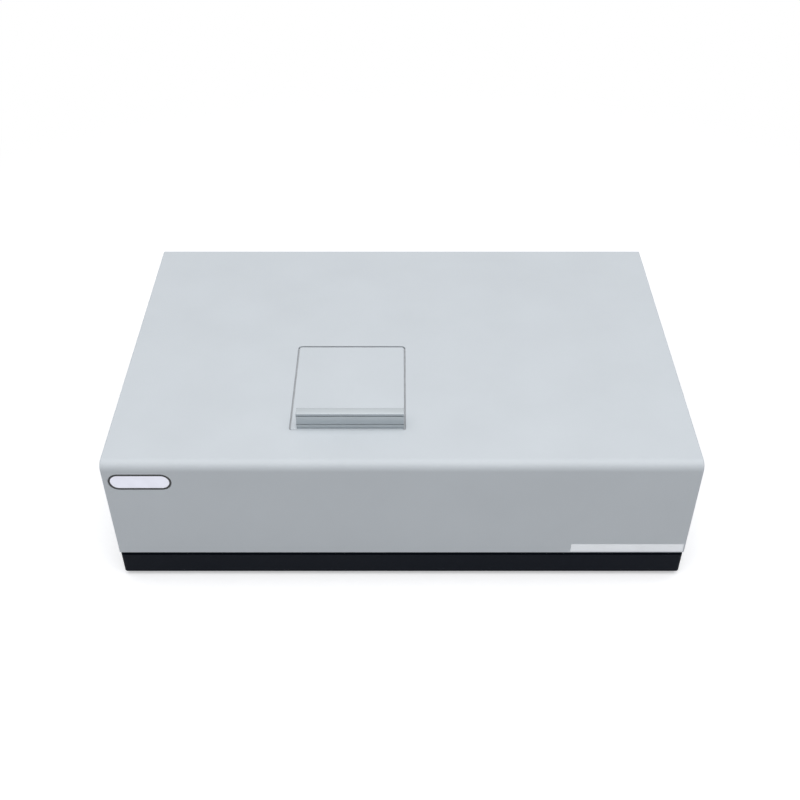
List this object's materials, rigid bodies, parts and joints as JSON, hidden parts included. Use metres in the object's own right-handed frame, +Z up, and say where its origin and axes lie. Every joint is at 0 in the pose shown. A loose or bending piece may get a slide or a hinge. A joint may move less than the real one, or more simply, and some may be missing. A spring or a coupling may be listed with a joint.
{
  "type": "infrared oil analyzer",
  "caption": "Bench-top infrared oil analyzer: pale steel cover over a black tray, hinged sample lid with a pull bar, cell compartment, lamp, scanning monochromator and electronics inside.",
  "frame": {"origin": "centre of the footprint on the bench surface, under the feet", "axes": "+X to the right seen from the front, front faces -Y, +Z up"},
  "size_m": [0.5, 0.325, 0.154],
  "materials": {
    "cover_paint": "fine smooth powder coat, semi-matt",
    "base_paint": "black fine-texture powder coat",
    "panel_paint": "powder coat, semi-matt",
    "bar_anodised": "satin anodised extrusion",
    "black_anodised": "matt black anodised",
    "bare_aluminium": "milled",
    "zinc_steel": "zinc plated",
    "rubber_black": "matt",
    "rubber_grey": "matt silicone",
    "badge_face": "glossy dome, blank",
    "label_face": "satin film, bare",
    "black_plastic": "moulded, fine spark texture",
    "dark_plastic": "moulded, polished",
    "quartz": "polished",
    "mirror_coat": "front-surface coating",
    "ceramic": "unglazed",
    "grating_glass": "ruled aluminium coating",
    "brass": "turned",
    "circuit_board": "solder mask",
    "component_black": "moulded epoxy"
  },
  "bodies": {
    "housing": {"base_tray": "base_paint", "cover_shell": "cover_paint", "rear_panel": "panel_paint", "foot_front_left": "rubber_black", "foot_front_right": "rubber_black", "foot_rear_left": "rubber_black", "foot_rear_right": "rubber_black", "foot_bolts": "zinc_steel", "cover_screws": "zinc_steel", "badge_plate": "badge_face", "label_strip": "label_face", "hinge_brackets": "zinc_steel", "hinge_rod": "zinc_steel", "lid_seal": "rubber_grey", "sample_well": "black_anodised", "beam_windows": "quartz", "cell_holder": "black_anodised", "compartment_screws": "zinc_steel", "optical_bench": "bare_aluminium", "bench_posts": "zinc_steel", "bench_screws": "zinc_steel", "source_housing": "black_anodised", "source_mirror": "mirror_coat", "lamp_bulb": "quartz", "lamp_socket": "ceramic", "chopper_motor": "zinc_steel", "mono_housing": "black_anodised", "mono_lid": "black_anodised", "mono_screws": "zinc_steel", "slit_plates": "zinc_steel", "concave_mirrors": "mirror_coat", "mirror_mounts": "black_anodised", "shaft_bearings": "zinc_steel", "guide_rod": "zinc_steel", "stepper_motor": "black_plastic", "detector": "bare_aluminium", "power_supply": "zinc_steel", "main_board": "circuit_board", "board_components": "component_black", "mains_inlet": "black_plastic", "switch_body": "black_plastic", "usb_port": "zinc_steel", "fan_housing": "black_plastic", "fan_guard": "zinc_steel", "panel_screws": "zinc_steel"},
    "lid": {"lid_panel": "cover_paint", "lid_handle": "bar_anodised", "handle_screws": "zinc_steel", "lid_liner": "black_anodised", "lid_arm_left": "zinc_steel", "lid_arm_right": "zinc_steel"},
    "power_rocker": {"rocker_button": "dark_plastic"},
    "fuse_carrier": {"fuse_drawer": "black_plastic"},
    "chopper": {"chopper_disc": "black_anodised"},
    "cooling_rotor": {"fan_rotor": "black_plastic"},
    "scan_screw": {"leadscrew": "zinc_steel"},
    "nut_carriage": {"scan_nut": "brass"},
    "grating_turntable": {"grating_table": "bare_aluminium", "diffraction_grating": "grating_glass", "sine_arm": "bare_aluminium"}
  },
  "joints": [
    {"name": "lid_hinge", "type": "hinge", "parent": "housing", "child": "lid", "pos_m": [-0.0465, 0.01, 0.13], "axis": [-1, 0, 0], "range_deg": [0, 95]},
    {"name": "rocker_tilt", "type": "hinge", "parent": "housing", "child": "power_rocker", "pos_m": [-0.148, 0.1515, 0.078], "axis": [1, 0, 0], "range_deg": [0, 20]},
    {"name": "fuse_slide", "type": "slide", "parent": "housing", "child": "fuse_carrier", "axis": [0, 1, 0], "range_m": [0, 0.022]},
    {"name": "chopper_spin", "type": "hinge", "parent": "housing", "child": "chopper", "pos_m": [-0.1125, -0.03873, 0.085], "axis": [1, 0, 0], "continuous": true},
    {"name": "fan_spin", "type": "hinge", "parent": "housing", "child": "cooling_rotor", "pos_m": [0.15, 0.14575, 0.083], "axis": [0, 1, 0], "continuous": true},
    {"name": "nut_slide", "type": "slide", "parent": "housing", "child": "nut_carriage", "axis": [1, 0, 0], "range_m": [-0.008, 0.008]},
    {"name": "screw_turn", "type": "hinge", "parent": "housing", "child": "scan_screw", "pos_m": [0.085, -0.09973, 0.0555], "axis": [1, 0, 0], "range_deg": [-1442, 1442]},
    {"name": "grating_turn", "type": "hinge", "parent": "housing", "child": "grating_turntable", "pos_m": [0.085, -0.02173, 0.085], "axis": [0, 0, 1], "range_deg": [-6.57, 6.57]}
  ],
  "couplings": [
    {"joint": "screw_turn", "follows": "nut_slide", "rad_per_m": 3141.6},
    {"joint": "grating_turn", "follows": "nut_slide", "rad_per_m": 14.286}
  ]
}
